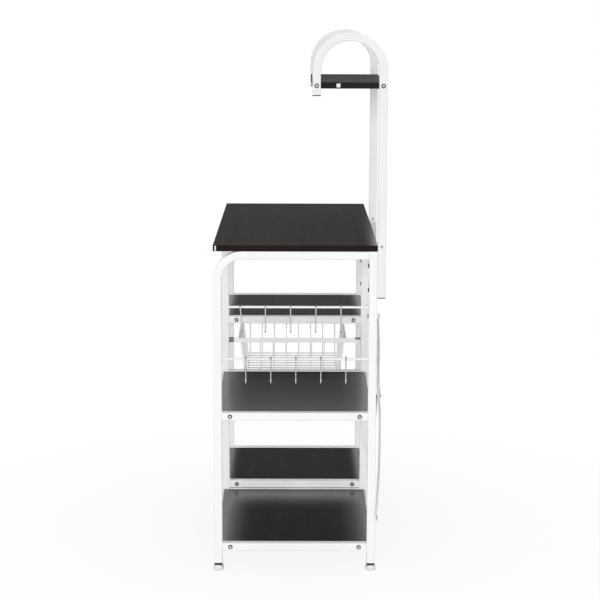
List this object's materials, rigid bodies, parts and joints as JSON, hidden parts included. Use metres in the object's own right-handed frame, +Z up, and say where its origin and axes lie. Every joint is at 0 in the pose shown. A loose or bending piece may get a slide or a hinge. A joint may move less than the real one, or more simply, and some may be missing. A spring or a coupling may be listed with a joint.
{
  "type": "bakers rack",
  "caption": "Kitchen rack of square tube with two columns of shelves, a worktop, a sliding wire basket, rods with S-hooks and a raised shelf on cane-topped posts.",
  "frame": {"origin": "on the floor, at the middle of the outline in plan", "axes": "+X along the width towards the wide column, +Y from the front to the back, +Z up"},
  "size_m": [0.907, 0.4281, 1.3319],
  "materials": {
    "frame_paint": "smooth white powder coat, semi-gloss",
    "board": "very dark espresso laminate with a fine grain, satin",
    "basket_coating": "white dip-coated wire, semi-gloss",
    "fastener": "zinc-plated steel, slightly dull",
    "grey_plastic": "plain grey plastic",
    "black_plastic": "fine-grained black moulding",
    "foot_plastic": "pale grey moulding, satin",
    "hook_steel": "bright plated wire"
  },
  "bodies": {
    "rack": {"right_bent_front_leg": "frame_paint", "right_rear_leg": "frame_paint", "middle_bent_front_leg": "frame_paint", "middle_rear_leg": "frame_paint", "left_bent_front_leg": "frame_paint", "left_rear_leg": "frame_paint", "right_upper_rail": "frame_paint", "right_lower_rail": "frame_paint", "middle_wide_upper_rail": "frame_paint", "middle_wide_lower_rail": "frame_paint", "middle_narrow_upper_rail": "frame_paint", "middle_narrow_lower_rail": "frame_paint", "left_upper_rail": "frame_paint", "left_lower_rail": "frame_paint", "upper_hook_rod": "frame_paint", "lower_hook_rod": "frame_paint", "right_cane_post": "frame_paint", "middle_cane_post": "frame_paint", "tabletop": "board", "wide_upper_shelf": "board", "wide_lower_shelf": "board", "narrow_upper_shelf": "board", "narrow_lower_shelf": "board", "hutch_shelf": "board", "brace_rod_inner": "frame_paint", "brace_rod_outer": "frame_paint", "left_basket_runner": "basket_coating", "right_basket_runner": "basket_coating", "shelf_bolts": "fastener", "post_bolts": "fastener", "brace_bolts_and_nuts": "fastener", "tabletop_screws": "fastener", "brace_pivot": "fastener", "post_side_plugs": "grey_plastic", "post_end_plugs": "black_plastic", "runner_clips": "black_plastic", "leg_plugs": "black_plastic"},
    "basket": {"basket_rim": "basket_coating", "basket_cross_wires": "basket_coating", "basket_long_wires": "basket_coating"},
    "upper_hook_1_body": {"upper_hook_1": "hook_steel"},
    "upper_hook_2_body": {"upper_hook_2": "hook_steel"},
    "upper_hook_3_body": {"upper_hook_3": "hook_steel"},
    "upper_hook_4_body": {"upper_hook_4": "hook_steel"},
    "upper_hook_5_body": {"upper_hook_5": "hook_steel"},
    "lower_hook_1_body": {"lower_hook_1": "hook_steel"},
    "lower_hook_2_body": {"lower_hook_2": "hook_steel"},
    "lower_hook_3_body": {"lower_hook_3": "hook_steel"},
    "lower_hook_4_body": {"lower_hook_4": "hook_steel"},
    "lower_hook_5_body": {"lower_hook_5": "hook_steel"},
    "right_front_foot_body": {"right_front_foot": "foot_plastic"},
    "right_rear_foot_body": {"right_rear_foot": "foot_plastic"},
    "middle_front_foot_body": {"middle_front_foot": "foot_plastic"},
    "middle_rear_foot_body": {"middle_rear_foot": "foot_plastic"},
    "left_front_foot_body": {"left_front_foot": "foot_plastic"},
    "left_rear_foot_body": {"left_rear_foot": "foot_plastic"}
  },
  "joints": [
    {"name": "basket_slide", "type": "slide", "parent": "rack", "child": "basket", "axis": [0, -1, 0], "range_m": [-0.05, 0.18]},
    {"name": "upper_hook_1_swing", "type": "hinge", "parent": "rack", "child": "upper_hook_1_body", "pos_m": [0.44, -0.1445, 0.6675], "axis": [0, 1, 0], "range_deg": [-75, 75]},
    {"name": "upper_hook_2_swing", "type": "hinge", "parent": "rack", "child": "upper_hook_2_body", "pos_m": [0.44, -0.083, 0.6675], "axis": [0, 1, 0], "range_deg": [-75, 75]},
    {"name": "upper_hook_3_swing", "type": "hinge", "parent": "rack", "child": "upper_hook_3_body", "pos_m": [0.44, -0.0215, 0.6675], "axis": [0, 1, 0], "range_deg": [-75, 75]},
    {"name": "upper_hook_4_swing", "type": "hinge", "parent": "rack", "child": "upper_hook_4_body", "pos_m": [0.44, 0.04, 0.6675], "axis": [0, 1, 0], "range_deg": [-75, 75]},
    {"name": "upper_hook_5_swing", "type": "hinge", "parent": "rack", "child": "upper_hook_5_body", "pos_m": [0.44, 0.1015, 0.6675], "axis": [0, 1, 0], "range_deg": [-75, 75]},
    {"name": "lower_hook_1_swing", "type": "hinge", "parent": "rack", "child": "lower_hook_1_body", "pos_m": [0.44, -0.1315, 0.538], "axis": [0, 1, 0], "range_deg": [-75, 75]},
    {"name": "lower_hook_2_swing", "type": "hinge", "parent": "rack", "child": "lower_hook_2_body", "pos_m": [0.44, -0.07, 0.538], "axis": [0, 1, 0], "range_deg": [-75, 75]},
    {"name": "lower_hook_3_swing", "type": "hinge", "parent": "rack", "child": "lower_hook_3_body", "pos_m": [0.44, -0.0085, 0.538], "axis": [0, 1, 0], "range_deg": [-75, 75]},
    {"name": "lower_hook_4_swing", "type": "hinge", "parent": "rack", "child": "lower_hook_4_body", "pos_m": [0.44, 0.053, 0.538], "axis": [0, 1, 0], "range_deg": [-75, 75]},
    {"name": "lower_hook_5_swing", "type": "hinge", "parent": "rack", "child": "lower_hook_5_body", "pos_m": [0.44, 0.1145, 0.538], "axis": [0, 1, 0], "range_deg": [-75, 75]},
    {"name": "right_front_foot_adjust", "type": "slide", "parent": "rack", "child": "right_front_foot_body", "axis": [0, 0, -1], "range_m": [0, 0.01]},
    {"name": "right_rear_foot_adjust", "type": "slide", "parent": "rack", "child": "right_rear_foot_body", "axis": [0, 0, -1], "range_m": [0, 0.01]},
    {"name": "middle_front_foot_adjust", "type": "slide", "parent": "rack", "child": "middle_front_foot_body", "axis": [0, 0, -1], "range_m": [0, 0.01]},
    {"name": "middle_rear_foot_adjust", "type": "slide", "parent": "rack", "child": "middle_rear_foot_body", "axis": [0, 0, -1], "range_m": [0, 0.01]},
    {"name": "left_front_foot_adjust", "type": "slide", "parent": "rack", "child": "left_front_foot_body", "axis": [0, 0, -1], "range_m": [0, 0.01]},
    {"name": "left_rear_foot_adjust", "type": "slide", "parent": "rack", "child": "left_rear_foot_body", "axis": [0, 0, -1], "range_m": [0, 0.01]}
  ]
}
